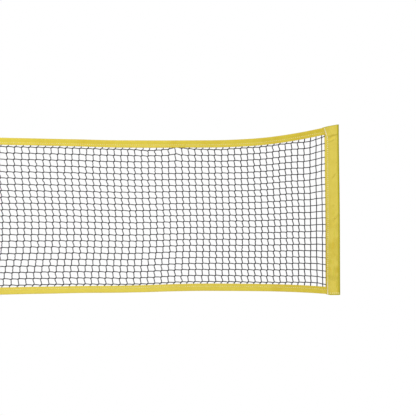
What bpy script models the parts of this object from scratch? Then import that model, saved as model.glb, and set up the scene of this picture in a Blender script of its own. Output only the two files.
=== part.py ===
"""A sports net with a taped top and bottom edge, and a pole in the pocket at each end.

Metres, +Z up. X runs along the net and Y through it. The origin is midway between the two ends, in the
plane of the netting, at the level of the pockets' feet.
"""

import math

import bmesh
import bpy
from mathutils import Vector

# Overall form: the end sleeves stand full height, and both edges draw in between them
NET_LENGTH = 3.000
END_HEIGHT = 0.600
TOP_DRAW_IN = 0.070
BOTTOM_DRAW_IN = 0.027
DRAW_IN_RUN = 0.238
DRAW_IN_POWER = 1.3
CURVED_RUNS = 3

# Netting
NET_CORD = 0.0025
NET_COLUMNS = 42
NET_ROWS = 7

# Tapes folded over the edges, each with a cord lying in its fold
TAPE_WIDTH = 0.025
TAPE_THICKNESS = 0.0008
EDGE_CORD = 0.005
FOLD_STEPS = 6
STRAIGHT_STRIDE = 4

# End sleeves: a pocket round the pole, its two sides sewn flat over the ends of the tapes
SLEEVE_WIDTH = 0.0455
SLEEVE_FABRIC = 0.0010
SEAM_FLAT = 0.009
SEAM_FLARE = 0.012
SEAM_FLARE_DEPTH = 0.045
TAPE_TUCK = 0.008
SIDE_STRIP = 0.0075
WRAP_STEPS = 14

# Poles and the plugs in their ends
POLE_DIAMETER = 0.0190
POLE_WALL = 0.0012
POLE_TOP_DEPTH = 0.035
PLUG_HEAD = 0.004
PLUG_CHAMFER = 0.0015
PLUG_SHANK = 0.020
PLUG_RIB_DEPTH = 0.0010
PLUG_RIBS = 3
TURNED_STEPS = 24

# Clearances
SEAM_GAP = 0.0003
POLE_GAP = 0.0005
MERGE = 0.00001

# Values worked out from the ones above
HALF_LENGTH = NET_LENGTH / 2
TAPE_INNER_HALF = EDGE_CORD / 2 + SEAM_GAP
TAPE_HALF = TAPE_INNER_HALF + TAPE_THICKNESS
EDGE_CORD_INSET = TAPE_THICKNESS + SEAM_GAP + EDGE_CORD / 2
NET_INSET = EDGE_CORD_INSET + EDGE_CORD / 2 + SEAM_GAP + NET_CORD / 2
SEAM_HALF = TAPE_HALF + SEAM_GAP + SLEEVE_FABRIC
SIDE_HEM_X = HALF_LENGTH - SLEEVE_WIDTH - SIDE_STRIP
SIDE_FOLD_X = SIDE_HEM_X + TAPE_WIDTH
TAPE_END_X = HALF_LENGTH - SLEEVE_WIDTH + TAPE_TUCK
NET_SIDE_X = SIDE_FOLD_X - TAPE_WIDTH / 2
POLE_RADIUS = POLE_DIAMETER / 2
WRAP_RADIUS = POLE_RADIUS + POLE_GAP + SLEEVE_FABRIC
POLE_X = HALF_LENGTH - WRAP_RADIUS
POLE_FOOT = SLEEVE_FABRIC + SEAM_GAP


class Edge:
    """One long edge of the net: its height along X, drawn in from the corners of the sleeves."""

    def __init__(self, corner_height, draw_in, inward):
        self.corner_height = corner_height
        self.draw_in = draw_in
        self.inward = inward

    def height(self, x):
        reach = (HALF_LENGTH - abs(x)) / DRAW_IN_RUN
        drawn = 1 - math.exp(-(reach**DRAW_IN_POWER))
        return self.corner_height + self.inward * self.draw_in * drawn

    def slope(self, x):
        reach = (HALF_LENGTH - abs(x)) / DRAW_IN_RUN
        left = math.exp(-(reach**DRAW_IN_POWER))
        rate = left * DRAW_IN_POWER * reach ** (DRAW_IN_POWER - 1) / DRAW_IN_RUN
        return -math.copysign(rate, x) * self.inward * self.draw_in

    def point(self, x, inset, y=0.0):
        """The point at a distance inset inside the edge, square to it."""
        across = Vector((-self.slope(x), 0, 1)).normalized() * self.inward
        return Vector((x, y, self.height(x))) + across * inset

    def height_inside(self, x, inset):
        """The height at x of the line that runs a distance inset inside the edge."""
        return self.height(x) + self.inward * inset * math.hypot(1, self.slope(x))


TOP_EDGE = Edge(END_HEIGHT, TOP_DRAW_IN, -1)
BOTTOM_EDGE = Edge(0.0, BOTTOM_DRAW_IN, 1)


def clear_scene():
    for obj in list(bpy.data.objects):
        bpy.data.objects.remove(obj, do_unlink=True)
    for mesh in list(bpy.data.meshes):
        bpy.data.meshes.remove(mesh)


def make_material(name, color, roughness, metallic=0.0):
    material = bpy.data.materials.new(name)
    material.use_nodes = True
    shader = material.node_tree.nodes["Principled BSDF"]
    shader.inputs["Base Color"].default_value = (*color, 1)
    shader.inputs["Roughness"].default_value = roughness
    shader.inputs["Metallic"].default_value = metallic
    return material


def add_object(name, data, material, collection, parent=None):
    obj = bpy.data.objects.new(name, data)
    data.materials.append(material)
    collection.objects.link(obj)
    obj.parent = parent
    return obj


def add_empty(name, location, turn, collection):
    empty = bpy.data.objects.new(name, None)
    empty.location = location
    empty.rotation_euler = (0, 0, turn)
    collection.objects.link(empty)
    return empty


def grid_mesh(columns, rows, place):
    """A grid of quads whose corners go where place(column, row) says."""
    bm = bmesh.new()
    bmesh.ops.create_grid(bm, x_segments=columns, y_segments=rows, size=0.5)
    for vertex in bm.verts:
        column = round((vertex.co.x + 0.5) * columns)
        row = round((vertex.co.y + 0.5) * rows)
        vertex.co = place(column, row)
    return bm


def finish_mesh(bm, name, smooth_angle=math.radians(40)):
    mesh = bpy.data.meshes.new(name)
    bm.to_mesh(mesh)
    bm.free()
    mesh.shade_smooth()
    mesh.set_sharp_from_angle(angle=smooth_angle)
    return mesh


def net_columns():
    return [NET_SIDE_X * (2 * column / NET_COLUMNS - 1) for column in range(NET_COLUMNS + 1)]


def edge_stations():
    """Places along a tape: every column of the netting where it curves, fewer where it is straight."""
    curved = HALF_LENGTH - CURVED_RUNS * DRAW_IN_RUN
    inner = [
        x
        for column, x in enumerate(net_columns())
        if abs(x) < TAPE_END_X - TAPE_TUCK and (abs(x) > curved or column % STRAIGHT_STRIDE == 0)
    ]
    return [-TAPE_END_X, *inner, TAPE_END_X]


def net_panel(material, collection):
    """Square netting: a lattice of cords held at its rim inside the tapes."""
    columns = net_columns()

    def place(column, row):
        x = columns[column]
        low = BOTTOM_EDGE.height_inside(x, NET_INSET)
        high = TOP_EDGE.height_inside(x, NET_INSET)
        return Vector((x, 0, low + (high - low) * row / NET_ROWS))

    mesh = finish_mesh(grid_mesh(NET_COLUMNS, NET_ROWS, place), "net_panel")
    obj = add_object("net_panel", mesh, material, collection)
    cords = obj.modifiers.new("Cords", "WIREFRAME")
    cords.thickness = NET_CORD
    cords.offset = 0
    cords.use_even_offset = True
    cords.use_boundary = True
    return obj


def tape_section():
    """The folded tape across its length, as (inset from the fold, y), from one hem to the other."""
    section = [(TAPE_WIDTH, -TAPE_HALF)]
    for step in range(FOLD_STEPS + 1):
        angle = math.pi * (step / FOLD_STEPS - 0.5)
        section.append((TAPE_HALF * (1 - math.cos(angle)), TAPE_HALF * math.sin(angle)))
    section.append((TAPE_WIDTH, TAPE_HALF))
    return section


def add_wall(obj, thickness):
    wall = obj.modifiers.new("Wall", "SOLIDIFY")
    wall.thickness = thickness
    wall.offset = -1
    wall.use_even_offset = True
    return wall


def face_outwards(bm, probe, outward):
    """Turns the sheet so that the face nearest to probe looks along outward."""
    bmesh.ops.recalc_face_normals(bm, faces=bm.faces)
    nearest = min(bm.faces, key=lambda face: (face.calc_center_median() - probe).length)
    if nearest.normal.dot(outward) < 0:
        bmesh.ops.reverse_faces(bm, faces=bm.faces)


def folded_tape(name, edge, material, collection):
    """A tape folded in two over an edge of the net, and sewn through the netting inside it."""
    stations = edge_stations()
    section = tape_section()

    def place(column, row):
        inset, y = section[row]
        return edge.point(stations[column], inset, y)

    bm = grid_mesh(len(stations) - 1, len(section) - 1, place)
    face_outwards(bm, edge.point(0, 0), Vector((0, 0, -edge.inward)))
    obj = add_object(name, finish_mesh(bm, name), material, collection)
    add_wall(obj, TAPE_THICKNESS)
    return obj


def side_tape(name, turn, material, collection):
    """The same tape folded over the end of the netting, from the top tape down to the bottom one."""
    section = tape_section()

    def place(column, row):
        inset, y = section[row]
        x = SIDE_FOLD_X - inset
        edge = TOP_EDGE if column else BOTTOM_EDGE
        return Vector((x, y, edge.height_inside(x, TAPE_WIDTH + SEAM_GAP)))

    bm = grid_mesh(1, len(section) - 1, place)
    face_outwards(bm, Vector((SIDE_FOLD_X, 0, END_HEIGHT / 2)), Vector((1, 0, 0)))
    obj = add_object(name, finish_mesh(bm, name), material, collection)
    obj.rotation_euler = (0, 0, turn)
    add_wall(obj, TAPE_THICKNESS)
    return obj


def edge_cord(name, edge, material, collection):
    """The cord that lies in the fold of a tape and takes the pull of the net."""
    stations = edge_stations()
    curve = bpy.data.curves.new(name, "CURVE")
    curve.dimensions = "3D"
    curve.bevel_depth = EDGE_CORD / 2
    curve.bevel_resolution = 2
    curve.use_fill_caps = True
    spline = curve.splines.new("POLY")
    spline.points.add(len(stations) - 1)
    for point, x in zip(spline.points, stations):
        point.co = (*edge.point(x, EDGE_CORD_INSET), 1)
    return add_object(name, curve, material, collection)


def sleeve_wrap():
    """The pocket from above, as (x, y): off the seam on one side, round the pole and back to the other."""
    seam = SLEEVE_WIDTH - SEAM_FLAT
    to_seam = Vector((seam - WRAP_RADIUS, SEAM_HALF))
    lift_off = math.atan2(to_seam.y, to_seam.x) + math.acos(WRAP_RADIUS / to_seam.length)
    wrap = [(HALF_LENGTH - seam, SEAM_HALF)]
    for step in range(WRAP_STEPS + 1):
        angle = lift_off + (2 * math.pi - 2 * lift_off) * step / WRAP_STEPS
        wrap.append((POLE_X - WRAP_RADIUS * math.cos(angle), WRAP_RADIUS * math.sin(angle)))
    wrap.append((HALF_LENGTH - seam, -SEAM_HALF))
    return wrap


def sleeve_columns():
    """Points up the sleeve, foot to mouth, in columns from one sewn edge round the pole to the other."""
    sewn = HALF_LENGTH - SLEEVE_WIDTH
    flared = sewn - SEAM_FLARE
    flare_start = END_HEIGHT - SEAM_FLARE_DEPTH
    hem = [(sewn, BOTTOM_EDGE.height(sewn)), (sewn, flare_start), (flared, TOP_EDGE.height(flared))]
    near = [[(x, SEAM_HALF, z) for x, z in hem]]
    far = [[(x, -SEAM_HALF, z) for x, z in hem]]
    pocket = [[(x, y, 0.0), (x, y, flare_start), (x, y, TOP_EDGE.height(x))] for x, y in sleeve_wrap()]
    return near + pocket + far


def end_sleeve(name, turn, material, collection):
    """The pocket for a pole: open at the top, closed at the foot, sewn over the tapes along both sides."""
    columns = sleeve_columns()
    rows = len(columns[0]) - 1
    bm = grid_mesh(len(columns) - 1, rows, lambda column, row: Vector(columns[column][row]))
    foot = [edge for edge in bm.edges if all(abs(vertex.co.z) < MERGE for vertex in edge.verts)]
    bmesh.ops.contextual_create(bm, geom=foot)
    face_outwards(bm, Vector((POLE_X, 0, 0)), Vector((0, 0, -1)))
    obj = add_object(name, finish_mesh(bm, name), material, collection)
    obj.rotation_euler = (0, 0, turn)
    add_wall(obj, SLEEVE_FABRIC)
    return obj


def turned(name, profile, closed, material, collection, parent):
    """A round piece about the parent's Z axis, from its (radius, height) profile."""
    bm = bmesh.new()
    points = [bm.verts.new((radius, 0, height)) for radius, height in profile]
    ends = points[1:] + points[:1] if closed else points[1:]
    for first, second in zip(points, ends):
        bm.edges.new((first, second))
    obj = add_object(name, finish_mesh(bm, name), material, collection, parent)
    spin = obj.modifiers.new("Turn", "SCREW")
    spin.steps = TURNED_STEPS
    spin.render_steps = TURNED_STEPS
    spin.use_merge_vertices = True
    spin.merge_threshold = MERGE
    return obj


def plug_profile(seat, outward):
    """A push-in plug from its head to its ribbed shank's tip; outward is 1 at the top, -1 at the foot."""
    grip = POLE_RADIUS - POLE_WALL - SEAM_GAP
    core = grip - PLUG_RIB_DEPTH
    head = seat + outward * PLUG_HEAD
    profile = [
        (0, head),
        (POLE_RADIUS - PLUG_CHAMFER, head),
        (POLE_RADIUS, head - outward * PLUG_CHAMFER),
        (POLE_RADIUS, seat),
    ]
    pitch = PLUG_SHANK / PLUG_RIBS
    for rib in range(PLUG_RIBS):
        start = seat - outward * pitch * rib
        profile.append((core, start))
        profile.append((core, start - outward * pitch / 2))
        profile.append((grip, start - outward * pitch / 2))
    profile.append((core, seat - outward * PLUG_SHANK))
    profile.append((0, seat - outward * PLUG_SHANK))
    return profile if outward > 0 else profile[::-1]


def end_pole(side, turn, materials, collection):
    """A tube with a plug in each end, standing in the pocket of its sleeve."""
    axis = add_empty(f"{side}_pole_axis", (math.cos(turn) * POLE_X, 0, POLE_FOOT), turn, collection)
    top = TOP_EDGE.height(POLE_X) - POLE_TOP_DEPTH - POLE_FOOT
    low_seat = PLUG_HEAD
    high_seat = top - PLUG_HEAD
    inner = POLE_RADIUS - POLE_WALL
    low = low_seat + SEAM_GAP
    high = high_seat - SEAM_GAP
    tube = [(inner, high), (POLE_RADIUS, high), (POLE_RADIUS, low), (inner, low)]
    turned(f"{side}_pole", tube, True, materials["tube"], collection, axis)
    turned(f"{side}_pole_top_plug", plug_profile(high_seat, 1), False, materials["plug"], collection, axis)
    turned(f"{side}_pole_foot_plug", plug_profile(low_seat, -1), False, materials["plug"], collection, axis)


def main():
    clear_scene()
    parts = bpy.data.collections.new("sports_net")
    bpy.context.scene.collection.children.link(parts)
    netting = make_material("netting_cord", (0.035, 0.035, 0.037), 0.75)
    tape = make_material("tape_fabric", (0.74, 0.61, 0.08), 0.7)
    sleeve = make_material("sleeve_fabric", (0.70, 0.58, 0.10), 0.7)
    rope = make_material("edge_cord", (0.70, 0.69, 0.66), 0.8)
    pole = {
        "tube": make_material("pole_tube", (0.56, 0.57, 0.58), 0.35, 1.0),
        "plug": make_material("plug_plastic", (0.03, 0.03, 0.03), 0.5),
    }
    net_panel(netting, parts)
    folded_tape("top_tape", TOP_EDGE, tape, parts)
    folded_tape("bottom_tape", BOTTOM_EDGE, tape, parts)
    edge_cord("head_cord", TOP_EDGE, rope, parts)
    edge_cord("foot_cord", BOTTOM_EDGE, rope, parts)
    for side, turn in (("right", 0.0), ("left", math.pi)):
        side_tape(f"{side}_side_tape", turn, tape, parts)
        end_sleeve(f"{side}_sleeve", turn, sleeve, parts)
        end_pole(side, turn, pole, parts)


main()
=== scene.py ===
import math
import random

import bpy
from mathutils import Matrix, Vector, noise


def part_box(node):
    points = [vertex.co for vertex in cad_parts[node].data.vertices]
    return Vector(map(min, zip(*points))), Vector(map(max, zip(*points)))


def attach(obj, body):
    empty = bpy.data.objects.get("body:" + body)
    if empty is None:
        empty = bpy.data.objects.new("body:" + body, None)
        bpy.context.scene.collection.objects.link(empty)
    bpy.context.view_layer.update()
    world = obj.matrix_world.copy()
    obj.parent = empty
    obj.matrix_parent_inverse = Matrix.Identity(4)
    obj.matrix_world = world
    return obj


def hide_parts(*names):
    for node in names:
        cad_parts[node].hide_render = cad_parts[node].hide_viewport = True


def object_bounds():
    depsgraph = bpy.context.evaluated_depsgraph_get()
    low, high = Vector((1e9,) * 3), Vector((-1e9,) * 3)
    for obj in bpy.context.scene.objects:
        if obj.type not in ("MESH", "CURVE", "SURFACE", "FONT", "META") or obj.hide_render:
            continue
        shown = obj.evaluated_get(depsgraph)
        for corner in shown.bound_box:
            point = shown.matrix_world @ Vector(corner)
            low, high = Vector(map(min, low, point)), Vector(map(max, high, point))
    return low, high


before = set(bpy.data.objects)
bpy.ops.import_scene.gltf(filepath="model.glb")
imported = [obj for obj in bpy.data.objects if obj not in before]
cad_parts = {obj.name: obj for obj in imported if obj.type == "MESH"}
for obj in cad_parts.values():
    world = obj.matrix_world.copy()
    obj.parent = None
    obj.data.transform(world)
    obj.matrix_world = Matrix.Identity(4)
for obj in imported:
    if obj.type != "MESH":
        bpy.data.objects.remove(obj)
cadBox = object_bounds()
halfLength = cadBox[1].x
endHeight = cadBox[1].z


# curves that the settings below are read with
def bell(value, middle, width):
    return math.exp(-(((value - middle) / width) ** 2))


def bumps(value, rows):
    return sum(change * bell(value, place, width) for place, width, change in rows)


def smooth(low, high, value):
    t = min(max((value - low) / (high - low), 0.0), 1.0)
    return t * t * (3 - 2 * t)


def gain(value, low, high, change):
    return change * smooth(low, high, value)


def noiseAt(place, scale):
    return noise.noise(Vector([value * factor for value, factor in zip(place, scale)]))


def stations(low, high, every):
    count = round((high - low) / every)
    return [low + (high - low) * i / count for i in range(count + 1)]


# long edges of the net: full height at the ends, drawn in between them
edges = dict(
    topDraw=0.070, bottomDraw=0.027, drawRun=0.238, drawPower=1.3, tapeWidth=0.025,
    tapeTurn=(1.15, 0.60, -0.0022),  # from, to, change: a tape turns towards the middle and shows less
    topSpread=((0.76, 0.15, 0.0013),),  # place, width, change: more of the top tape shows
    topWaves=((0.70, 0.11, -0.0012), (0.78, 0.10, 0.0006), (0.95, 0.09, 0.0010), (1.22, 0.10, -0.0010)),
    bottomWaves=((0.76, 0.15, -0.0022), (1.15, 0.13, -0.0013), (1.37, 0.09, 0.0006)),
)


def drawnIn(x):
    reach = max(halfLength - abs(x), 0.0) / edges["drawRun"]
    return 1 - math.exp(-(reach ** edges["drawPower"]))


def topEdge(x):
    return endHeight - edges["topDraw"] * drawnIn(x) + bumps(abs(x), edges["topWaves"])


def bottomEdge(x):
    return edges["bottomDraw"] * drawnIn(x) + bumps(abs(x), edges["bottomWaves"])


def edgeSlope(edge, x):
    step = 0.0005
    return (edge(x + step) - edge(x - step)) / (2 * step)


def inward(edge):
    return -1 if edge is topEdge else 1


def insideEdge(edge, x, inset, y=0.0):
    across = Vector((-edgeSlope(edge, x), 0, 1)).normalized() * inward(edge)
    return Vector((x, y, edge(x))) + across * inset


def heightInside(edge, x, inset):
    return edge(x) + inward(edge) * inset * math.hypot(1, edgeSlope(edge, x))


def tapeShown(edge, x):
    shown = edges["tapeWidth"] + gain(abs(x), *edges["tapeTurn"])
    return shown + bumps(abs(x), edges["topSpread"]) if edge is topEdge else shown


def hemHeight(edge, x):
    return heightInside(edge, x, tapeShown(edge, x))


# small makers that every piece uses
def fit(piece, node=None):
    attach(piece, "net")
    if node:
        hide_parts(node)


def addPiece(name, data):
    piece = bpy.data.objects.new(name, data)
    bpy.context.scene.collection.objects.link(piece)
    return piece


def newMesh(name, points, links=(), faces=()):
    mesh = bpy.data.meshes.new(name)
    mesh.from_pydata(points, links, faces)
    return mesh


def settle(piece):
    graph = bpy.context.evaluated_depsgraph_get()
    mesh = bpy.data.meshes.new_from_object(
        piece.evaluated_get(graph), preserve_all_data_layers=True, depsgraph=graph)
    piece.modifiers.clear()
    piece.data = mesh
    return piece


def pathMesh(name, paths, thick=None):
    points, links = [], []
    for path in paths:
        first = len(points)
        points += path
        links += [(first + i, first + i + 1) for i in range(len(path) - 1)]
    mesh = newMesh(name, points, links)
    layer = mesh.attributes.new("thick", "FLOAT", "POINT")  # share of the cord's own thickness
    for item, point in zip(layer.data, points):
        item.value = thick(point) if thick else 1.0
    return mesh


def clothMesh(name, lines, flat):
    across = len(lines[0])
    faces = []
    for i in range(len(lines) - 1):
        for j in range(across - 1):
            corner = i * across + j
            faces.append((corner, corner + 1, corner + across + 1, corner + across))
    mesh = newMesh(name, [point for line in lines for point in line], faces=faces)
    layer = mesh.uv_layers.new(name="cloth")  # metres of flat cloth, so a weave keeps its scale
    for loop in mesh.loops:
        i, j = divmod(loop.vertex_index, across)
        layer.data[loop.index].uv = flat[i][j]
    mesh.shade_smooth()
    return mesh


def makeCloth(name, lines, flat, thickness, material):
    piece = addPiece(name, clothMesh(name, lines, flat))
    wall = piece.modifiers.new("wall", "SOLIDIFY")
    wall.thickness = thickness
    wall.offset = -1
    wall.use_even_offset = False
    piece.data.materials.append(material)
    return settle(piece)


def turnRound(piece, name):
    mesh = piece.data.copy()
    mesh.transform(Matrix.Rotation(math.pi, 4, "Z"))
    return addPiece(name, mesh)


# node trees: a wire runs from node to node, and names a socket where it isn't the first one
def newTree(name, kind, inputs, outputs):
    tree = bpy.data.node_groups.new(name, kind)
    for way, sockets in (("INPUT", inputs), ("OUTPUT", outputs)):
        for label, form in sockets.items():
            tree.interface.new_socket(label, in_out=way, socket_type="NodeSocket" + form)
    return tree


def wire(tree, nodes, *runs):
    for run in runs:
        ends = [end.partition(".") for end in run.split(" > ")]
        for (first, _, output), (last, _, entry) in zip(ends, ends[1:]):
            tree.links.new(nodes[first].outputs[output or 0], nodes[last].inputs[entry or 0])


# Geometry Nodes trees: cords along paths, knots at points, stitches along paths
def newShapeTree(name, sockets, **kinds):
    sockets = {"Geometry": "Geometry", **sockets, "Material": "Material"}
    tree = newTree(name, "GeometryNodeTree", sockets, {"Geometry": "Geometry"})
    kinds.update(source="NodeGroupInput", realize="RealizeInstances", shade="SetShadeSmooth",
                 paint="SetMaterial", out="NodeGroupOutput")
    n = {}
    for label, kind in kinds.items():
        n[label] = tree.nodes.new(kind if "Node" in kind else "GeometryNode" + kind)
    wire(tree, n, "realize > shade > paint > out", "source.Material > paint.Material")
    return tree, n


def makeCordTree():
    tree, n = newShapeTree(
        "cordAlongPath", {"Radius": "Float", "Sides": "Int"}, curve="MeshToCurve", spline="SplineParameter",
        along="StoreNamedAttribute", circle="CurvePrimitiveCircle", place="InputPosition",
        unit="ShaderNodeVectorMath", around="StoreNamedAttribute", thick="InputNamedAttribute",
        tube="CurveToMesh")
    n["around"].data_type = "FLOAT_VECTOR"
    n["unit"].operation = "NORMALIZE"
    n["tube"].inputs["Fill Caps"].default_value = True
    for label in ("along", "around", "thick"):
        n[label].inputs["Name"].default_value = label
    wire(tree, n, "source > curve > along > tube > realize", "spline.Length > along.Value",
         "source.Sides > circle.Resolution", "source.Radius > circle.Radius",
         "circle > around > tube.Profile Curve", "place > unit > around.Value", "thick > tube.Scale")
    return tree


def makeKnotTree():
    tree, n = newShapeTree(
        "knotAtCrossing", {"Loop": "Float", "Cord": "Float"}, loop="CurvePrimitiveCircle",
        cord="CurvePrimitiveCircle", ring="CurveToMesh", turn="InputNamedAttribute",
        euler="FunctionNodeEulerToRotation", size="InputNamedAttribute", spread="InstanceOnPoints")
    n["loop"].inputs["Resolution"].default_value = 8
    n["cord"].inputs["Resolution"].default_value = 4
    for label in ("turn", "size"):
        n[label].data_type = "FLOAT_VECTOR"
        n[label].inputs["Name"].default_value = label
    wire(tree, n, "source > spread > realize", "loop > ring > spread.Instance", "cord > ring.Profile Curve",
         "source.Loop > loop.Radius", "source.Cord > cord.Radius", "turn > euler > spread.Rotation",
         "size > spread.Scale")
    return tree


def makeStitchTree():
    tree, n = newShapeTree(
        "stitchesAlongPath", {"Pitch": "Float", "Size": "Vector"}, curve="MeshToCurve",
        points="CurveToPoints", bead="MeshUVSphere", shape="Transform",
        align="FunctionNodeAlignRotationToVector", spread="InstanceOnPoints")
    n["points"].mode = "LENGTH"
    n["align"].axis = "X"
    for label, value in (("Segments", 6), ("Rings", 4), ("Radius", 0.5)):
        n["bead"].inputs[label].default_value = value
    wire(tree, n, "source > curve > points > spread > realize", "source.Pitch > points.Length",
         "bead > shape > spread.Instance", "source.Size > shape.Scale", "points.Tangent > align.Vector",
         "align > spread.Rotation")
    return tree


def runTree(name, mesh, tree, **values):
    piece = addPiece(name, mesh)
    modifier = piece.modifiers.new(tree.name, "NODES")
    modifier.node_group = tree
    for item in tree.interface.items_tree:
        if item.in_out == "INPUT" and item.name in values:
            modifier[item.identifier] = values[item.name]
    return settle(piece)


cordTree = makeCordTree()
knotTree = makeKnotTree()
stitchTree = makeStitchTree()


def layCord(name, paths, form, material, thick=None):
    return runTree(name, pathMesh(name, paths, thick), cordTree,
                   Radius=form["radius"], Sides=form["sides"], Material=material)


def sewAlong(name, paths, form, material):
    return runTree(name, pathMesh(name, paths), stitchTree,
                   Pitch=form["pitch"], Size=form["stitch"], Material=material)


print("node trees ready")


# shader nodes
def put(tree, value, socket):
    if isinstance(value, bpy.types.NodeSocket):
        tree.links.new(value, socket)
    else:
        socket.default_value = value


def shade(tree, kind, inputs=(), **settings):
    node = tree.nodes.new("ShaderNode" + kind)
    for label, value in settings.items():
        setattr(node, label, value)
    for key, value in dict(inputs).items():
        put(tree, value, node.inputs[key])
    return node.outputs


def calc(tree, operation, *values):
    return shade(tree, "Math", enumerate(values), operation=operation)[0]


def times(tree, first, second):
    return calc(tree, "MULTIPLY", first, second)


def ramp(tree, value, *ends):
    return shade(tree, "MapRange", enumerate((value, *ends)), interpolation_type="SMOOTHSTEP")[0]


def tint(tree, mask, first, second, blend="MIX"):
    first, second = ((*value, 1) if isinstance(value, tuple) else value for value in (first, second))
    return shade(tree, "Mix", {0: mask, 6: first, 7: second}, data_type="RGBA", blend_type=blend)[2]


def grain(tree, vector, scale, detail=3.0, roughness=0.55):
    inputs = {"Vector": vector, "Scale": scale, "Detail": detail, "Roughness": roughness}
    return shade(tree, "TexNoise", inputs)["Fac"]


def stretched(tree, vector, scale):
    return shade(tree, "Mapping", {"Vector": vector, "Scale": scale})[0]


def split(tree, vector):
    return shade(tree, "SeparateXYZ", {0: vector})


# shader groups: a plain weave, the lay of a twisted cord, and a crease across a sleeve
weaveForm = dict(slubScale=420.0, slubRun=(1, 9, 1), tone=0.18)
creaseForm = dict(wobble=0.007, wobbleScale=90.0, fadeIn=0.005, fadeOut=0.008)


def newGroup(name, inputs, outputs):
    group = newTree(name, "ShaderNodeTree", inputs, dict.fromkeys(outputs, "Float"))
    return group, group.nodes.new("NodeGroupInput").outputs, group.nodes.new("NodeGroupOutput").inputs


def useGroup(tree, group, **values):
    return shade(tree, "Group", values, node_tree=group)


def makeWeaveGroup():
    inputs = {"Cloth": "Vector", "Threads": "Float", "Slub": "Float"}
    group, source, out = newGroup("plainWeave", inputs, ("Height", "Tone"))
    x, y, _ = split(group, source["Cloth"])
    rate = times(group, source["Threads"], math.pi)
    warp = calc(group, "SINE", times(group, x, rate))
    weft = calc(group, "SINE", times(group, y, rate))
    over = times(group, warp, weft)
    slub = grain(group, stretched(group, source["Cloth"], weaveForm["slubRun"]), weaveForm["slubScale"])
    uneven = times(group, calc(group, "SUBTRACT", slub, 0.5), source["Slub"])
    put(group, calc(group, "MULTIPLY_ADD", over, 0.5, calc(group, "ADD", uneven, 0.5)), out["Height"])
    put(group, calc(group, "MULTIPLY_ADD", over, weaveForm["tone"], uneven), out["Tone"])
    return group


def makeLayGroup():
    group, source, out = newGroup("twistedLay", {"Strands": "Float", "Pitch": "Float"}, ("Height",))
    x, y, _ = split(group, shade(group, "Attribute", attribute_name="around")["Vector"])
    turns = calc(group, "DIVIDE", shade(group, "Attribute", attribute_name="along")["Fac"], source["Pitch"])
    angle = calc(group, "MULTIPLY_ADD", turns, 2 * math.pi, calc(group, "ARCTAN2", y, x))
    wave = calc(group, "SINE", times(group, angle, source["Strands"]))
    put(group, calc(group, "MULTIPLY_ADD", wave, 0.5, 0.5), out["Height"])
    return group


def makeCreaseGroup():
    inputs = {"Cloth": "Vector", **dict.fromkeys(("Height", "Slope", "Width", "First", "Last"), "Float")}
    group, source, out = newGroup("creaseLine", inputs, ("Mask",))
    x, y, _ = split(group, source["Cloth"])
    front = times(group, x, -1.0)  # from the outer fold over the front
    line = calc(group, "MULTIPLY_ADD", front, source["Slope"], source["Height"])
    uneven = grain(group, source["Cloth"], creaseForm["wobbleScale"], 2.0)
    wobble = calc(group, "MULTIPLY_ADD", uneven, creaseForm["wobble"], -creaseForm["wobble"] / 2)
    off = calc(group, "ABSOLUTE", calc(group, "ADD", calc(group, "SUBTRACT", y, line), wobble))
    near = ramp(group, off, 0.0, source["Width"], 1.0, 0.0)
    begun = calc(group, "ADD", source["First"], creaseForm["fadeIn"])
    ending = calc(group, "SUBTRACT", source["Last"], creaseForm["fadeOut"])
    start = ramp(group, front, source["First"], begun)
    stop = ramp(group, front, ending, source["Last"], 1.0, 0.0)
    put(group, times(group, near, times(group, start, stop)), out["Mask"])
    return group


weaveGroup = makeWeaveGroup()
layGroup = makeLayGroup()
creaseGroup = makeCreaseGroup()


# materials
def newMaterial(name):
    material = bpy.data.materials.new(name)
    material.use_nodes = True
    tree = material.node_tree
    return material, tree, tree.nodes["Principled BSDF"], shade(tree, "TexCoord")["Object"]


wearRun = (0.3, 0.7)  # of most grains, from smooth to rough


def coat(tree, shader, color, wear, roughness, height, depth, run=wearRun):
    rough = ramp(tree, wear, *run, *roughness)
    bump = shade(tree, "Bump", {"Distance": depth, "Strength": 1.0, "Height": height})[0]
    for label, value in (("Base Color", color), ("Roughness", rough), ("Normal", bump)):
        put(tree, value, shader.inputs[label])


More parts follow.
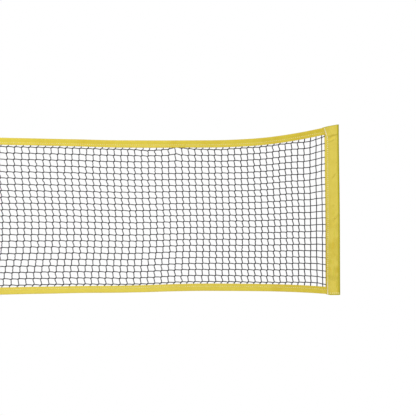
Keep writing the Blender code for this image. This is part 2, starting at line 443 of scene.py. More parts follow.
# cloth: grains are scale and detail, runs are from and to
tapeLook = dict(
    yellow=(0.735, 0.596, 0.062),
    deep=(0.665, 0.505, 0.038),
    pale=(0.790, 0.665, 0.120),
    orange=(0.720, 0.520, 0.036),
    green=(0.640, 0.585, 0.036),
    shaded=(0.500, 0.350, 0.030),
    threads=950.0, slub=0.5, cloud=(9.0, 2.0), fuzz=(70.0, 4.0), streak=(150.0, 2.0),
    streakRun=(0.14, 1.0, 1.0),  # streaks run along the tape
    streakShare=0.35,
    paleRun=(0.80, 1.42),  # distance from the middle of the net, over which the share of pale changes
    paintedShadeRun=(0.08, 0.42),  # height on the side tape over which the painted shade fades out
    tone=(0.35, 0.96),  # depth of the weave's shade, and its middle
    roughness=(0.68, 0.82), weaveDepth=0.00012, specular=0.20,
)
sleeveLook = dict(
    yellow=(0.748, 0.617, 0.104),
    deep=(0.640, 0.503, 0.060),
    olive=(0.505, 0.445, 0.005),
    creaseShadeColor=(0.430, 0.340, 0.022),
    creaseHighlightColor=(0.830, 0.655, 0.085),
    orange=(0.700, 0.505, 0.040),
    green=(0.600, 0.560, 0.035),
    threads=1150.0, slub=0.4, cloud=(26.0, 3.0), fuzz=(150.0, 4.0), streak=(120.0, 2.0),
    streakRun=(1.0, 0.16, 1.0),  # streaks run down the sleeve
    lowRun=(0.10, 0.42),  # the lower sleeve has more of the darker patches and streaks
    patchShare=(0.55, 0.25),  # more of it low down, and everywhere
    streakShare=(0.50, 0.12),
    paintedFoldShade=(0.0122, 0.0192, 0.98, 0.0),  # darker bands, painted shade along the outer fold and the foot: from, to, share at either
    paintedFootShade=(0.0036, 0.0058, 0.80, 0.0),
    mouthBand=(endHeight - 0.0042, endHeight - 0.0010, 0.0, 0.85), tone=(0.30, 0.97),
    roughness=(0.62, 0.78), weaveDepth=0.00009, specular=0.06,
    paintedCreaseShades=(  # painted shade along creases: height at the outer fold, slope, half width, from, to, strength
        (0.5674, -0.165, 0.0046, 0.014, 0.052, 0.52),
        (0.5510, -0.165, 0.0036, 0.026, 0.053, 0.32),
        (0.2995, -1.150, 0.0042, 0.014, 0.037, 0.50),
        (0.4520, -1.080, 0.0075, 0.022, 0.040, 0.40),
        (0.4660, 0.0, 0.0050, 0.016, 0.026, 0.34),
        (0.3150, 0.0, 0.0080, 0.026, 0.041, 0.26),
        (0.0600, 0.05, 0.0180, 0.010, 0.056, 0.30),
        (0.0900, 0.0, 0.0190, 0.012, 0.036, 0.32),
        (0.1250, 0.0, 0.0160, 0.012, 0.030, 0.15),
        (0.2350, 0.0, 0.0300, 0.012, 0.030, 0.16),
    ),
    paintedCreaseHighlights=(  # painted highlight on the paler side of a crease, in the same terms
        (0.5600, -0.165, 0.0056, 0.022, 0.056, 0.70),
        (0.2870, -1.150, 0.0065, 0.018, 0.040, 0.55),
    ),
)


def startCloth(name, look):
    material, tree, shader, place = newMaterial(name)
    cloth = shade(tree, "UVMap", uv_map="cloth")[0]
    marks = {
        "weave": useGroup(tree, weaveGroup, Cloth=cloth, Threads=look["threads"], Slub=look["slub"]),
        "cloud": grain(tree, place, *look["cloud"]),
        "fuzz": grain(tree, place, *look["fuzz"]),
        "streak": grain(tree, stretched(tree, cloth, look["streakRun"]), *look["streak"]),
    }
    return material, tree, shader, cloth, marks


def streaked(tree, color, look, streak, share):
    for low, high, shown in ((0.52, 0.72, "orange"), (0.46, 0.30, "green")):
        mask = times(tree, ramp(tree, streak, low, high), share)
        color = tint(tree, mask, color, look[shown])
    return color


def finishCloth(tree, shader, color, look, marks):
    height, tone = marks["weave"]
    tone = calc(tree, "MULTIPLY_ADD", tone, *look["tone"])
    gray = shade(tree, "CombineColor", enumerate((tone, tone, tone)))[0]
    color = tint(tree, 1.0, color, gray, "MULTIPLY")
    coat(tree, shader, color, marks["fuzz"], look["roughness"], height, look["weaveDepth"])
    shader.inputs["Specular IOR Level"].default_value = look["specular"]


def makeTapeMaterial(name, paleShareAndPaintedLight, paintedShade=None):
    look = tapeLook
    material, tree, shader, cloth, marks = startCloth(name, look)
    color = tint(tree, ramp(tree, marks["cloud"], 0.35, 0.70), look["yellow"], look["deep"])
    color = streaked(tree, color, look, marks["streak"], look["streakShare"])
    run = calc(tree, "ABSOLUTE", split(tree, cloth)[0])
    color = tint(tree, ramp(tree, run, *look["paleRun"], *paleShareAndPaintedLight), color, look["pale"])
    if paintedShade:  # painted shade: the side tape's lower part is darker and more orange
        color = tint(tree, ramp(tree, run, *look["paintedShadeRun"], *paintedShade), color, look["shaded"])
    color = tint(tree, ramp(tree, marks["fuzz"], 0.50, 0.75, 0.0, 0.5), color, look["pale"])
    finishCloth(tree, shader, color, look, marks)
    return material


def makeSleeveMaterial():
    look = sleeveLook
    material, tree, shader, cloth, marks = startCloth("yellowSleeveCloth", look)
    x, y, _ = split(tree, cloth)
    low = ramp(tree, y, *look["lowRun"], 1.0, 0.0)
    patches, streaks = (calc(tree, "MULTIPLY_ADD", low, *look[share])
                        for share in ("patchShare", "streakShare"))
    patchy = times(tree, ramp(tree, marks["cloud"], 0.40, 0.66), patches)
    color = tint(tree, patchy, look["yellow"], look["deep"])
    color = streaked(tree, color, look, marks["streak"], streaks)
    # painted shade along the creases, and painted highlight on their paler sides
    for lines, shown in (("paintedCreaseHighlights", "creaseHighlightColor"), ("paintedCreaseShades", "creaseShadeColor")):
        for *line, strength in look[lines]:
            form = dict(zip(("Height", "Slope", "Width", "First", "Last"), line))
            mask = useGroup(tree, creaseGroup, Cloth=cloth, **form)["Mask"]
            color = tint(tree, times(tree, mask, strength), color, look[shown])
    # painted shade: olive along the outer fold and the foot, where the round cloth turns away from the light;
    # the mouth's rim is darkened too
    side = calc(tree, "ABSOLUTE", x)
    fold, foot, mouth = (ramp(tree, value, *look[band])
                         for value, band in ((side, "paintedFoldShade"), (y, "paintedFootShade"), (y, "mouthBand")))
    edge = calc(tree, "MAXIMUM", calc(tree, "MAXIMUM", fold, foot), mouth)
    finishCloth(tree, shader, tint(tree, edge, color, look["olive"]), look, marks)
    return material


# cords, knots and threads: two colours, and how deep the lay or the fibre is
cordLook = dict(
    fuzz=900.0, fuzzShare=0.25, fade=(14.0, 2.0), roughness=(0.68, 0.92),
    net=((0.030, 0.030, 0.034), (0.075, 0.075, 0.082)),
    rope=((0.52, 0.51, 0.48), (0.76, 0.75, 0.71)),
)
knotLook = dict(
    fibre=(1300.0, 3.0), cloud=(40.0, 2.0), cloudRun=(0.35, 0.75), roughness=(0.66, 0.92),
    depth=0.00025,
)
threadLook = dict(
    fibre=(1800.0, 2.0), cloud=(60.0, 2.0), cloudRun=(0.35, 0.70), roughness=(0.55, 0.80),
    depth=0.00010,
    tape=((0.90, 0.81, 0.42), (0.78, 0.68, 0.26)),
    seam=((0.98, 0.93, 0.58), (0.95, 0.87, 0.46)),
    edge=((0.97, 0.80, 0.18), (0.90, 0.70, 0.12)),
    tack=((0.93, 0.86, 0.66), (0.85, 0.75, 0.48)),
)


def makeCordMaterial(name, colors, strands, pitch, depth):
    material, tree, shader, place = newMaterial(name)
    lay = useGroup(tree, layGroup, Strands=strands, Pitch=pitch)["Height"]
    fuzz = grain(tree, place, cordLook["fuzz"])
    faded = ramp(tree, grain(tree, place, *cordLook["fade"]), 0.3, 0.7, 0.35, 1.0)
    # painted shade: the grooves between the strands are darker than their crests
    color = tint(tree, times(tree, ramp(tree, lay, 0.45, 1.0), faded), *colors)
    height = calc(tree, "MULTIPLY_ADD", fuzz, cordLook["fuzzShare"], lay)
    coat(tree, shader, color, fuzz, cordLook["roughness"], height, depth)
    return material


def makeFibreMaterial(name, colors, look):
    material, tree, shader, place = newMaterial(name)
    fibre, cloud = (grain(tree, place, *look[mark]) for mark in ("fibre", "cloud"))
    color = tint(tree, ramp(tree, cloud, *look["cloudRun"]), *colors)
    wear = cloud if "scuffRun" in look else fibre
    run = look.get("scuffRun", wearRun)
    coat(tree, shader, color, wear, look["roughness"], fibre, look["depth"], run)
    return material


# painted light: the bottom and side tapes are paler copies of one tape cloth, to make up for the light they
# get less of
topTapeMaterial = makeTapeMaterial("yellowTopTape", (0.12, 0.0))
bottomTapeMaterial = makeTapeMaterial("yellowBottomTape", (0.55, 0.12))
sideTapeMaterial = makeTapeMaterial("yellowSideTape", (0.60, 0.60), (0.52, 0.0))
sleeveMaterial = makeSleeveMaterial()
cordMaterial = makeCordMaterial("blackNetCord", cordLook["net"], 3.0, 0.0085, 0.00030)
ropeMaterial = makeCordMaterial("whiteEdgeRope", cordLook["rope"], 4.0, 0.022, 0.00060)
knotMaterial = makeFibreMaterial("blackKnot", cordLook["net"], knotLook)
tapeThread = makeFibreMaterial("paleYellowThread", threadLook["tape"], threadLook)
seamThread = makeFibreMaterial("creamThread", threadLook["seam"], threadLook)
edgeThread = makeFibreMaterial("orangeEdgeThread", threadLook["edge"], threadLook)
tackThread = makeFibreMaterial("whiteTackThread", threadLook["tack"], threadLook)
print("materials ready")


# netting: rows, uprights and knots; in threes: place, width, change
net = dict(
    columns=126, rows=23, pitch=0.02302,
    crowding=((0.055, 0.026, 0.0030),),  # the last uprights stand further from the end
    radius=0.00165, sides=6,
    swellEnds=(0.80, 1.35, 0.10),  # from, to, change: thicker cord towards the ends and the foot
    swellFoot=(0.36, 0.12, 0.06),
    swellLast=(1.40, 1.43, -0.10),  # and thinner in the last meshes
    stub=0.0064,  # from a tape's hem to the nearest row
    topStubs=((1.385, 0.040, 0.0062),),
    footStubs=((1.400, 0.075, 0.0058), (1.450, 0.018, -0.0027),
               (0.770, 0.090, -0.0024), (0.955, 0.050, 0.0008)),
    sag=((0.09, 0.08, 0.0028),),  # of the rows near the end
    topSlips=((0.815, 0.035, 0.0036), (0.945, 0.030, -0.0024), (1.055, 0.035, 0.0020),
              (1.155, 0.030, -0.0016), (1.285, 0.035, -0.0013)),
    slipRows=0.8,  # rows from the top that follow the slips
    caught=((0.912, 0.019, 0.0070),),  # a knot of the top row that is sewn into the tape
    caughtRows=1.9,
    nudges=(  # place along and down the net, width and depth, sideways shift
        (0.36, 0.45, 0.07, 0.45, 0.0014),
        (0.57, 0.00, 0.19, 0.05, 0.0048),
        (0.63, 0.50, 0.13, 0.30, -0.0021),
        (0.85, 0.88, 0.12, 0.12, -0.0020),
        (0.53, 1.00, 0.10, 0.05, 0.0040),
        (0.98, 1.00, 0.08, 0.05, -0.0028),
        (1.37, 0.25, 0.08, 0.16, -0.0021),
        (1.40, 0.75, 0.045, 0.30, -0.0019),
    ),
    innerRun=(1.10, 0.35),
    endRun=(0.06, 0.30),  # distance from the end over which the drift sets in
    bulge=(0.0050, 0.0060),  # sideways bow of the uprights: everywhere, and more away from the ends
    bulgeAt=(0.57, 0.27),  # place down the net, width
    trail=(0.72, 1.02, 0.0100),  # sideways drift at the foot away from the ends
    lean=0.0046,  # sideways run of an upright down one mesh
    leanFade=(0.055, 0.20),  # distance from the end over which the lean dies out
    step=0.0012,  # half the height that the uprights lose to a knot
    wander=0.00045, wanderUp=0.7, sway=0.0025, swayScale=(2.2, 0.12, 3.7),
    rowEnd=0.046,  # in the fold of the side tape
    cornerLift=0.004, rowTilt=0.0020, rowSlack=0.0004, knotHalf=0.0016,
    intoTape=0.004,  # both ends of an upright run into the tapes
    topBend=0.004,
    topRun=(0.0034, 0.0020),  # sideways run above the top row, at the tape and at the bend
    footRun=0.0035, bow=(0.0004, 0.0005), curl=0.10, knotLoop=0.0016, knotCord=0.00112,
    knotTurn=(-42, -12),  # degrees: with the lean, and everywhere
    knotLoose=(0.16, 0.12), knotSize=(0.92, 0.16), seed=11,
)
chance = random.Random(net["seed"])
lastRow = net["rows"] - 1


def columnPlace(column):
    x = (column - (net["columns"] - 1) / 2) * net["pitch"]
    return x - math.copysign(bumps(halfLength - abs(x), net["crowding"]), x)


def rowHeight(x, row):
    low = hemHeight(bottomEdge, x) + net["stub"] + bumps(abs(x), net["footStubs"])
    high = hemHeight(topEdge, x) - net["stub"] - bumps(abs(x), net["topStubs"])
    sag = bumps(halfLength - abs(x), net["sag"]) * math.sin(math.pi * row / lastRow)
    slip = bumps(x, net["topSlips"]) * bell(lastRow - row, 0.0, net["slipRows"])
    catch = bumps(x, net["caught"]) * bell(lastRow - row, 0.0, net["caughtRows"])
    return low + (high - low) * row / lastRow - sag - slip + catch


def drift(x, row):
    down = 1 - row / lastRow
    inner = smooth(*net["innerRun"], abs(x))
    ends = smooth(*net["endRun"], halfLength - abs(x))
    bow = (net["bulge"][0] + net["bulge"][1] * inner) * bell(down, *net["bulgeAt"])
    shift = ends * (bow - inner * gain(down, *net["trail"]))
    for place, level, width, depth, change in net["nudges"]:
        shift += change * bell(x, place, width) * bell(down, level, depth)
    return shift


def swellAt(point):
    swell = 1 + gain(abs(point.x), *net["swellEnds"]) + gain(point.z, *net["swellFoot"])
    return swell + gain(abs(point.x), *net["swellLast"])


def leanAt(x):
    return smooth(*net["leanFade"], halfLength - abs(x))


def makeKnots():
    knots = {}
    for column in range(net["columns"]):
        x = columnPlace(column)
        for row in range(net["rows"]):
            across = x + drift(x, row) + chance.gauss(0, net["wander"])
            height = rowHeight(x, row) + chance.gauss(0, net["wander"] * net["wanderUp"])
            hang = net["sway"] * math.sin(math.pi * row / lastRow)
            sway = hang * noiseAt((x, row, 1), net["swayScale"])
            knots[column, row] = Vector((across, sway, height))
    return knots


def rowPaths(knots):
    reach = halfLength - net["rowEnd"]
    half = net["knotHalf"]
    paths = []
    for row in range(net["rows"]):
        height = rowHeight(reach, row) + (net["cornerLift"] if row == lastRow else 0.0)
        path = [Vector((-reach, 0, height))]
        for column in range(net["columns"]):
            place = knots[column, row]
            tilt = leanAt(place.x) * net["rowTilt"]
            if column:
                slack = Vector((0, 0, -net["rowSlack"] * chance.random()))
                path.append(path[-1].lerp(place, 0.5) + slack)
            path += [place + Vector((side * half, 0, side * tilt / 2)) for side in (-1, 1)]
        paths.append(path + [Vector((reach, 0, height))])
    return paths


def columnPaths(knots):
    step, bend, (far, near) = net["step"], net["topBend"], net["topRun"]
    paths = []
    for column in range(net["columns"]):
        x = columnPlace(column)
        fade = leanAt(x)
        half = fade * net["lean"] / 2
        top, foot = knots[column, lastRow], knots[column, 0]
        toTop = hemHeight(topEdge, x) + net["intoTape"] - top.z
        toFoot = hemHeight(bottomEdge, x) - net["intoTape"] - foot.z
        path = [top + Vector((half + fade * far, 0, toTop)), top + Vector((half + fade * near, 0, bend)),
                top + Vector((half, 0, step))]
        for row in range(lastRow, 0, -1):
            start = knots[column, row] + Vector((-half, 0, -step))
            end = knots[column, row - 1] + Vector((half, 0, step))
            bow = fade * chance.gauss(*net["bow"])
            path.append(start)
            for part, side in ((0.33, 1), (0.67, -1)):
                ease = part - net["curl"] * math.sin(2 * math.pi * part)
                spot = start.lerp(end, part)
                spot.x = start.x + (end.x - start.x) * ease + bow * side
                path.append(spot)
            path.append(end)
        out = -half - fade * net["footRun"]
        paths.append(path + [foot + Vector((-half, 0, -step)), foot + Vector((out, 0, toFoot))])
    return paths


def knotPoints(knots):
    mesh = newMesh("netKnots", list(knots.values()))
    for label in ("turn", "size"):
        mesh.attributes.new(label, "FLOAT_VECTOR", "POINT")
    turn, size = (mesh.attributes[label].data for label in ("turn", "size"))
    (leaning, always), (loose, tipped) = net["knotTurn"], net["knotLoose"]
    least, more = net["knotSize"]
    for index, place in enumerate(knots.values()):
        diagonal = math.radians(leaning * leanAt(place.x) + always) + chance.gauss(0, loose)
        turn[index].vector = (math.pi / 2 + chance.gauss(0, tipped), diagonal + math.pi / 2, 0)
        size[index].vector = (1.0, least + more * chance.random(), 1.0)
    return mesh


knots = makeKnots()
netRows = layCord("netRows", rowPaths(knots), net, cordMaterial, swellAt)
netColumns = layCord("netColumns", columnPaths(knots), net, cordMaterial, swellAt)
netKnots = runTree("netKnots", knotPoints(knots), knotTree,
                   Loop=net["knotLoop"], Cord=net["knotCord"], Material=knotMaterial)
for piece in (netRows, netColumns, netKnots):
    fit(piece, "net_panel")
print("netting:", len(knots), "knots")


# tapes folded over the edges of the netting; an inset is from the fold towards the hem
tapes = dict(
    thickness=0.0008,
    fold=0.00365,  # outer half thickness where the rope lies in the fold
    foldRun=(0.006, 0.013),
    pinch=0.0023,  # at the stitch row
    hem=0.0027,
    fill=(0.10, 0.06, 0.5),  # from, to, change: near the end the tape thickens half-way to its fold
    faceStart=0.0010,  # from the round of the fold to the flat face
    end=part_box("top_tape")[1].x, stationEvery=0.008, ripple=0.00035,
    rippleScale=(26, 4.0, 40), rippleRun=(0.004, 0.012), sag=0.0005, sagScale=(9, 3.1, 0),
    sewnEnd=0.047,  # from the end, where the threads stop under the sleeve
    stitchInset=0.0158, stitchLift=0.0001, stitchEvery=0.02, pitch=0.0071,
    stitch=(0.0044, 0.0009, 0.0022),
    hemPitch=0.0036,  # from one turn of the thread over the hem to the next
    hemTurns=((0.0024, 0.0002), (-0.0005, -0.0006)),  # inside the hem and out of the face, by turns
    radius=0.00055,  # of the thread over the hem
    sides=5,
)


def tapeHalf(inset, x):
    rope, pinch = tapes["fold"], tapes["pinch"]
    sewn = pinch + (tapes["hem"] - pinch) * smooth(tapes["stitchInset"], edges["tapeWidth"], inset)
    half = rope + (sewn - rope) * smooth(*tapes["foldRun"], inset)
    return half + (rope - half) * gain(halfLength - abs(x), *tapes["fill"])


def tapeSection(shown):
    fold, steps, turns = tapes["fold"], 14, 10
    insets = [shown - (shown - fold - tapes["faceStart"]) * i / steps for i in range(steps + 1)]
    angles = [math.pi * (i / turns - 0.5) for i in range(turns + 1)]
    return ([(inset, -1, None) for inset in insets]
            + [(fold * (1 - math.cos(angle)), 0, fold * math.sin(angle)) for angle in angles]
            + [(inset, 1, None) for inset in reversed(insets)])


def foldedCloth(places, section, half, lay):
    lines, flat = [], []
    for place in places:
        line, marks, run, last = [], [], 0.0, None
        for inset, side, y in section(place):
            y = side * half(place, inset, side) if side else y
            spot = Vector((inset, y))
            run += (spot - last).length if last else 0.0
            last = spot
            point, along = lay(place, inset, y)
            line.append(point)
            marks.append((along, run))
        lines.append(line)
        flat.append(marks)
    return lines, flat


def stitchPath(edge, side, reach):
    inset = tapes["stitchInset"]
    return [insideEdge(edge, x, inset, side * (tapeHalf(inset, x) + tapes["stitchLift"]))
            for x in stations(-reach, reach, tapes["stitchEvery"])]


def hemPath(edge, side, reach):
    path = []
    for i, x in enumerate(stations(-reach, reach, tapes["hemPitch"])):
        inside, out = tapes["hemTurns"][i % 2]
        path.append(insideEdge(edge, x, tapeShown(edge, x) - inside, side * (tapes["hem"] + out)))
    return path


def makeTape(name, edge, wave, material):
    def half(x, inset, side):
        ripple = tapes["ripple"] * noiseAt((x, side + wave / 4, inset), tapes["rippleScale"])
        return tapeHalf(inset, x) + ripple * smooth(*tapes["rippleRun"], inset)

    def lay(x, inset, y):
        sag = tapes["sag"] * noiseAt((x, wave, 0), tapes["sagScale"])
        return insideEdge(edge, x, inset + sag, y), x

    places = stations(-tapes["end"], tapes["end"], tapes["stationEvery"])
    lines, flat = foldedCloth(places, lambda x: tapeSection(tapeShown(edge, x)), half, lay)
    cut = flat[0][-1][1]
    if edge is topEdge:  # so that both tapes' faces look outward
        lines, flat = ([row[::-1] for row in rows] for rows in (lines, flat))
    tape = makeCloth(name, lines, flat, tapes["thickness"], material)
    reach = halfLength - tapes["sewnEnd"]
    stitches, hem = ([path(edge, side, reach) for side in (-1, 1)] for path in (stitchPath, hemPath))
    threads = [sewAlong(name + "Stitches", stitches, tapes, tapeThread),
               layCord(name + "HemThread", hem, tapes, edgeThread)]
    return tape, threads, cut


topTape, topThreads, tapeCut = makeTape("topTape", topEdge, 1.0, topTapeMaterial)
bottomTape, bottomThreads, _ = makeTape("bottomTape", bottomEdge, 2.0, bottomTapeMaterial)
for tape, threads, node in ((topTape, topThreads, "top_tape"), (bottomTape, bottomThreads, "bottom_tape")):
    fit(tape, node)
    for thread in threads:
        fit(thread)
print("tapes: cut width", round(tapeCut * 1000, 1), "mm")


# ropes in the folds of the tapes
rope = dict(radius=0.0025, inset=0.0036, sides=10, every=0.02, short=0.0005)


def makeRope(name, edge):
    reach = tapes["end"] - rope["short"]
    path = [insideEdge(edge, x, rope["inset"]) for x in stations(-reach, reach, rope["every"])]
    return layCord(name, [path], rope, ropeMaterial)


for name, edge, node in (("headRope", topEdge, "head_cord"), ("footRope", bottomEdge, "foot_cord")):
    fit(makeRope(name, edge), node)
print("ropes laid in the folds")


# side tapes, sleeves and their stitching, made at the right end and turned round for the left
sideForm = dict(
    strip=0.0075,  # shows beside the sleeve
    hemRun=(0.016, 0.025), ripple=0.0003, rippleScale=(0.35, 3.0, 60),
    underTape=0.0015,  # how far its ends lie in the long tapes
    squeeze=0.985,
)
sleeve = dict(
    width=0.0455, fabric=0.0010, seamFlat=0.0100, seamHalf=0.00495, wrap=0.0110,
    flare=0.0145, flareDepth=0.045,
    footSpread=0.0043, footRun=0.52,  # the sleeve widens towards its foot, over this height
    spreadFrom=0.004,  # outside the seam
    bow=((0.28, 0.17, 0.0012),),  # slack that stands out at mid height: place, width, depth
    headRise=0.0022,  # the sleeve's mouth stands a little higher than the tape beside it
    headFrom=0.035, headFall=0.4, rowEvery=0.0020, footRows=5, footCloth=0.0016,
    footRound=0.0022, footTuck=0.06,
    footRise=0.75,  # the foot follows the bottom tape up to the seam
    slackRuns=((0.0148, 0.0212), (0.030, 0.037)),  # clear of the pole and of the tapes' ends
    soft=(0.0006, 0.00035),  # unevenness where the cloth is slack, and where it isn't
    softScale=(40, 17, 1),
    folds=(  # height at the outer end, slope, width, depth, reach from and to
        (0.5660, -0.22, 0.0026, 0.0024, 0.010, 0.047),
        (0.5480, -0.30, 0.0030, 0.0012, 0.014, 0.040),
        (0.2920, -1.10, 0.0028, 0.0020, 0.007, 0.032),
        (0.4700, -0.70, 0.0040, 0.0007, 0.011, 0.024),
        (0.4330, -0.80, 0.0060, 0.0006, 0.018, 0.038),
        (0.1500, -0.45, 0.0070, 0.0006, 0.012, 0.036),
        (0.0420, 0.35, 0.0045, 0.0007, 0.012, 0.036),
    ),
    foldScale=(70, 31, 1.7), foldFades=(0.004, 0.006),
    foldLips=(1.9, 0.6),  # place beside the fold in its widths, share of its depth
    drapes=((0.0165, 0.0030, 0.0007), (0.0265, 0.0032, 0.0008), (0.0340, 0.0026, 0.0005)),
    drapeRun=(0.34, 0.18),  # height over which the drapes set in
    drapeScale=(300, 7, 4.1), uneven=(0.6, 0.8), unevenScale=(11, 90, 1),
    wander=0.004,  # of the folds and the drapes
)


def bowAt(z):
    return bumps(z, sleeve["bow"])


def makeSideTape(name):
    width, rows = edges["tapeWidth"], 110
    fold = halfLength - sleeve["width"] - sideForm["strip"] + width
    end = width - sideForm["underTape"]

    def half(row, inset, side):
        flat = tapes["fold"] + (tapes["hem"] - tapes["fold"]) * smooth(*sideForm["hemRun"], inset)
        return flat + sideForm["ripple"] * noiseAt((row, side, inset), sideForm["rippleScale"])

    def lay(row, inset, y):
        x = fold - inset + bowAt(endHeight * row / rows)
        low, high = heightInside(bottomEdge, x, end), heightInside(topEdge, x, end)
        z = low + (high - low) * row / rows
        return Vector((x, y * sideForm["squeeze"], z)), z

    lines, flat = foldedCloth(range(rows + 1), lambda row: tapeSection(width), half, lay)
    return makeCloth(name, lines, flat, tapes["thickness"], sideTapeMaterial)


def sleeveSection():  # distance from the outer end and half thickness, from the seam to the outer fold
    wrap, width, half = sleeve["wrap"], sleeve["width"], sleeve["seamHalf"]
    seam = width - sleeve["seamFlat"]
    onSeam, onSide, onRound = 6, 12, 16
    toSeam = Vector((seam - wrap, half))
    liftOff = math.atan2(toSeam.y, toSeam.x) + math.acos(wrap / toSeam.length)
    angles = [liftOff + (math.pi - liftOff) * i / onRound for i in range(onRound + 1)]
    leave, *around = [(wrap + wrap * math.cos(angle), wrap * math.sin(angle)) for angle in angles]
    section = [(width - sleeve["seamFlat"] * i / onSeam, half) for i in range(onSeam)]
    for i in range(onSide + 1):
        t = i / onSide
        section.append((seam + (leave[0] - seam) * t, half + (leave[1] - half) * t))
    return section + around


def spreadAt(z):
    flare = max(z - endHeight + sleeve["flareDepth"], 0.0) / sleeve["flareDepth"]
    return sleeve["flare"] * flare + sleeve["footSpread"] * max(1 - z / sleeve["footRun"], 0.0)


def sleeveFolds(back, z, side):
    offPole, ontoTape = sleeve["slackRuns"]
    slack = smooth(*offPole, back) * (1 - smooth(*ontoTape, back))
    fadeIn, fadeOut = sleeve["foldFades"]
    lip, lipShare = sleeve["foldLips"]
    dip = rise = 0.0
    for height, slope, width, depth, first, last in sleeve["folds"]:
        shift = sleeve["wander"] * noiseAt((back, height, side), sleeve["foldScale"])
        away = (z - height - slope * back + shift) / (width * math.hypot(1, slope))
        reach = smooth(first, first + fadeIn, back) * (1 - smooth(last - fadeOut, last, back))
        dip += reach * depth * bell(away, 0.0, 1.0)
        rise += reach * depth * lipShare * (bell(away, lip, 1.0) + bell(away, -lip, 1.0))
    low = smooth(*sleeve["drapeRun"], z)
    mean, share = sleeve["uneven"]
    for place, width, height in sleeve["drapes"]:
        wander = place + sleeve["wander"] * noiseAt((place, z, side), sleeve["drapeScale"])
        uneven = mean + share * noiseAt((z, place, side), sleeve["unevenScale"])
        rise += low * height * bell(back, wander, width) * uneven
    soft = noiseAt((back, z, 5 + 2.9 * side), sleeve["softScale"])
    loose, tight = sleeve["soft"]
    return rise + slack * (loose * soft - dip) + tight * (1 - slack) * max(soft, 0.0)


def makeSleeve(name):
    half = sleeveSection()
    around = [(back, -thick) for back, thick in half] + [(back, thick) for back, thick in reversed(half[:-1])]
    arcs = [0.0]
    for first, second in zip(around, around[1:]):
        arcs.append(arcs[-1] + (Vector(second) - Vector(first)).length)
    levels = round(endHeight / sleeve["rowEvery"])
    width, footRows = sleeve["width"], sleeve["footRows"]
    seam = width - sleeve["seamFlat"]
    lines, flat = [], []
    for level in range(-footRows, levels + 1):
        up = max(level, 0) / levels
        line, marks = [], []
        for (back, thick), arc in zip(around, arcs):
            low = sleeve["footRise"] * bottomEdge(halfLength - back) * smooth(seam, width, back)
            spread = smooth(seam - sleeve["spreadFrom"], width, back) * spreadAt(up * endHeight)
            x = halfLength - back - spread
            fall = gain(back, sleeve["headFrom"], width, sleeve["headFall"])
            top = topEdge(x) + sleeve["headRise"] * (1 - fall)
            x += bowAt(up * endHeight)
            z = low + (top - low) * up
            if level < 0:  # the foot: turned under and closed along the middle
                y = thick * (1 - smooth(0.0, 1.0, -level / footRows))
            else:
                side = -1 if thick < 0 else 1
                tuck = bell(z, 0.0, sleeve["footRound"]) if back < seam else 0.0
                y = (thick + side * sleeveFolds(back, z, side)) * (1 - sleeve["footTuck"] * tuck)
            line.append(Vector((x, y, z)))
            marks.append((arc - arcs[-1] / 2, up * endHeight if level >= 0 else level * sleeve["footCloth"]))
        lines.append(line)
        flat.append(marks)
    return makeCloth(name, lines, flat, sleeve["fabric"], sleeveMaterial), arcs[-1]


# threads of the sleeve: the seam along its inner edge and foot, tacks on the tapes' ends, and over its edge
seamForm = dict(
    span=(0.006, 0.576), every=0.010, inset=0.0016, lift=0.0001,
    footSpan=(0.0085, 0.0445),  # from the outer end, the row that closes the foot
    footEvery=0.0030, footLift=0.0002, footHeight=0.0070, pitch=0.0072,
    stitch=(0.0046, 0.0012, 0.0026),
)
tackForm = dict(
    top=(-0.042, -0.001, 0.0002),  # from and to, from the top edge, and inset
    foot=(0.0030, 0.0450, 0.0013), every=0.0052, lift=0.0002, pitch=0.00050,
    stitch=(0.0007, 0.0009, 0.0030),
)
overEdge = dict(
    span=(0.046, 0.554352), pitch=0.003008,
    turns=((-0.0016, -0.0010), (0.0004, 0.0002)),  # inset and lift: past the edge, and on the cloth
    radius=0.00062, sides=5,
)


def sleeveEdge(z, inset):
    return halfLength - sleeve["width"] - spreadAt(z) + bowAt(z) + inset


def sleeveHalf(back):
    section = sleeveSection()
    for (far, wide), (near, narrow) in zip(section, section[1:]):
        if near <= back <= far:
            return narrow + (wide - narrow) * (back - near) / max(far - near, 1e-9)
    return sleeve["seamHalf"]


def onBothFaces(*runs):
    return [[Vector((x, side * y, z)) for x, y, z in run] for side in (-1, 1) for run in runs]


def makeSeam(name):
    y = sleeve["seamHalf"] + seamForm["lift"]
    edge = [(sleeveEdge(z, seamForm["inset"]), y, z) for z in stations(*seamForm["span"], seamForm["every"])]
    foot = [(halfLength - back, sleeveHalf(back) + seamForm["footLift"], seamForm["footHeight"])
            for back in stations(*seamForm["footSpan"], seamForm["footEvery"])]
    return sewAlong(name, onBothFaces(edge, foot), seamForm, seamThread)


def makeTacks(name):
    head = topEdge(halfLength - sleeve["width"] - sleeve["flare"])
    y = sleeve["seamHalf"] + tackForm["lift"]
    runs = []
    for base, (low, high, inset) in ((head, tackForm["top"]), (0.0, tackForm["foot"])):
        heights = stations(base + low, base + high, tackForm["every"])
        runs.append([(sleeveEdge(z, inset), y, z) for z in heights])
    return sewAlong(name, onBothFaces(*runs), tackForm, tackThread)


def makeEdgeThread(name):
    run = []
    for i, z in enumerate(stations(*overEdge["span"], overEdge["pitch"])):
        inset, lift = overEdge["turns"][i % 2]
        run.append((sleeveEdge(z, inset), sleeve["seamHalf"] + lift, z))
    return layCord(name, onBothFaces(run), overEdge, edgeThread)


rightSideTape = makeSideTape("rightSideTape")
rightSleeve, sleeveCut = makeSleeve("rightSleeve")
rightEnd = (rightSideTape, rightSleeve, makeSeam("rightSeam"), makeTacks("rightTacks"),
            makeEdgeThread("rightEdgeThread"))
leftEnd = tuple(turnRound(piece, piece.name.replace("right", "left")) for piece in rightEnd)
for end, label in ((rightEnd, "right"), (leftEnd, "left")):
    sideTape, cloth, *threads = end
    fit(sideTape, label + "_side_tape")
    fit(cloth, label + "_sleeve")
    for thread in threads:
        fit(thread)
print("ends: sleeve cut", round(sleeveCut * 1000, 1), "mm wide")


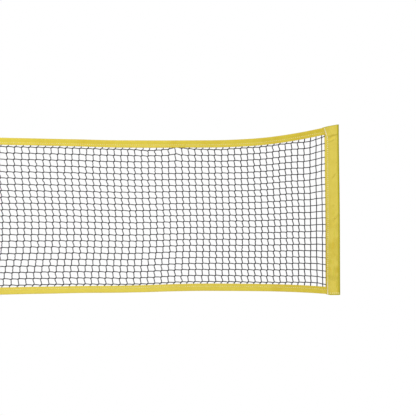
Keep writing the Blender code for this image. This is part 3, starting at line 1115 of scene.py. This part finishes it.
# poles and plugs keep their solids and get their finish
tubeLook = dict(
    light=(0.60, 0.61, 0.62),
    dull=(0.49, 0.50, 0.51),
    line=(0.40, 0.41, 0.42),
    lineRun=(900, 900, 6),  # draw lines run up the tube
    cloud=(22.0, 3.0), roughness=(0.26, 0.42), depth=0.00003,
)
plugLook = dict(
    colors=((0.022, 0.022, 0.024), (0.060, 0.060, 0.064)), fibre=(1600.0, 2.0),
    cloud=(120.0, 4.0), cloudRun=(0.50, 0.80), roughness=(0.42, 0.62),
    scuffRun=(0.35, 0.75),  # it is rougher where it is paler
    depth=0.00006,
)


def makeTubeMaterial():
    material, tree, shader, place = newMaterial("drawnAluminium")
    lines = grain(tree, stretched(tree, place, tubeLook["lineRun"]), 1.0, 4.0)
    cloud = ramp(tree, grain(tree, place, *tubeLook["cloud"]), 0.35, 0.70)
    color = tint(tree, cloud, tubeLook["light"], tubeLook["dull"])
    color = tint(tree, ramp(tree, lines, 0.40, 0.70, 0.0, 0.35), color, tubeLook["line"])
    coat(tree, shader, color, lines, tubeLook["roughness"], lines, tubeLook["depth"])
    shader.inputs["Metallic"].default_value = 1.0
    return material


finishes = {
    "_plug": makeFibreMaterial("blackPlug", plugLook["colors"], plugLook),
    "_pole": makeTubeMaterial(),
}
for name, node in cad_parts.items():
    for ending, material in finishes.items():
        if name.endswith(ending):
            node.data.materials.clear()
            node.data.materials.append(material)
print("poles and plugs finished")


# floor, light and camera
stage = dict(
    floor=-0.95, floorSize=40.0, floorColor=(0.93, 0.93, 0.93, 1), floorRoughness=0.9,
    fade=(0.9, 1.9),  # distance over which the floor turns white
    fadeForm=(0.6, 1.0, 0.0), worldColor=(1.0, 0.99, 0.97, 1), worldLight=0.61,
    lamps={  # power, size, place, aim
        "key": (57.0, 2.0, (-0.6, -2.6, 2.0), (0.4, 0, 0.3)),
        "rear": (45.0, 2.0, (0.4, 3.0, 1.8), (0.3, 0, 0.3)),
    },
)
view = dict(
    place=(0.3917, -2.646, 0.2341), heading=(0.23187, 0.97275), pitch=1.500, roll=-0.2375,
    lens=69.23, sensor=36.0, clip=0.02,
)


def seenDirectly(tree):
    path = shade(tree, "LightPath")
    mirror = calc(tree, "MAXIMUM", path["Is Glossy Ray"], path["Is Transmission Ray"])
    return calc(tree, "MAXIMUM", path["Is Camera Ray"], mirror)


def mixShaders(tree, mask, first, second, output):
    mixed = shade(tree, "MixShader", enumerate((mask, first, second)))[0]
    put(tree, mixed, tree.nodes[output].inputs["Surface"])


def makeWorld():
    world = bpy.data.worlds.new("studio")
    world.use_nodes = True
    tree = world.node_tree
    soft = tree.nodes["Background"]
    put(tree, stage["worldColor"], soft.inputs["Color"])
    put(tree, stage["worldLight"], soft.inputs["Strength"])
    white = shade(tree, "Background", {"Color": (1, 1, 1, 1)})[0]
    mixShaders(tree, seenDirectly(tree), soft.outputs[0], white, "World Output")
    bpy.context.scene.world = world


def makeFloor():
    size = stage["floorSize"] / 2
    corners = [(x * size, y * size, stage["floor"]) for x, y in ((-1, -1), (1, -1), (1, 1), (-1, 1))]
    mesh = newMesh("floor", corners, faces=[(0, 1, 2, 3)])
    floor = addPiece("floor", mesh)
    material, tree, shader, place = newMaterial("paleFloor")
    put(tree, stage["floorColor"], shader.inputs["Base Color"])
    put(tree, stage["floorRoughness"], shader.inputs["Roughness"])
    place = stretched(tree, place, stage["fadeForm"])
    away = shade(tree, "VectorMath", {0: place}, operation="LENGTH")["Value"]
    faded = times(tree, seenDirectly(tree), ramp(tree, away, *stage["fade"], 0.0, 1.0))
    mixShaders(tree, faded, shader.outputs[0], shade(tree, "Emission")[0], "Material Output")
    mesh.materials.append(material)


def makeLamp(name, power, size, place, aim):
    data = bpy.data.lights.new(name, "AREA")
    data.energy = power
    data.shape = "DISK"
    data.size = size
    lamp = addPiece(name, data)
    lamp.location = place
    lamp.rotation_euler = (Vector(aim) - Vector(place)).to_track_quat("-Z", "Y").to_euler()


def makeCamera():
    data = bpy.data.cameras.new("camera")
    data.lens = view["lens"]
    data.sensor_width = view["sensor"]
    data.clip_start = view["clip"]
    camera = addPiece("camera", data)
    camera.location = view["place"]
    ahead = Vector((*view["heading"], math.tan(math.radians(view["pitch"]))))
    turn = ahead.to_track_quat("-Z", "Y").to_matrix() @ Matrix.Rotation(math.radians(view["roll"]), 3, "Z")
    camera.rotation_euler = turn.to_euler()
    bpy.context.scene.camera = camera


makeWorld()
makeFloor()
for name, form in stage["lamps"].items():
    makeLamp(name, *form)
makeCamera()
bpy.context.scene.view_settings.view_transform = "Standard"
print("stage set")
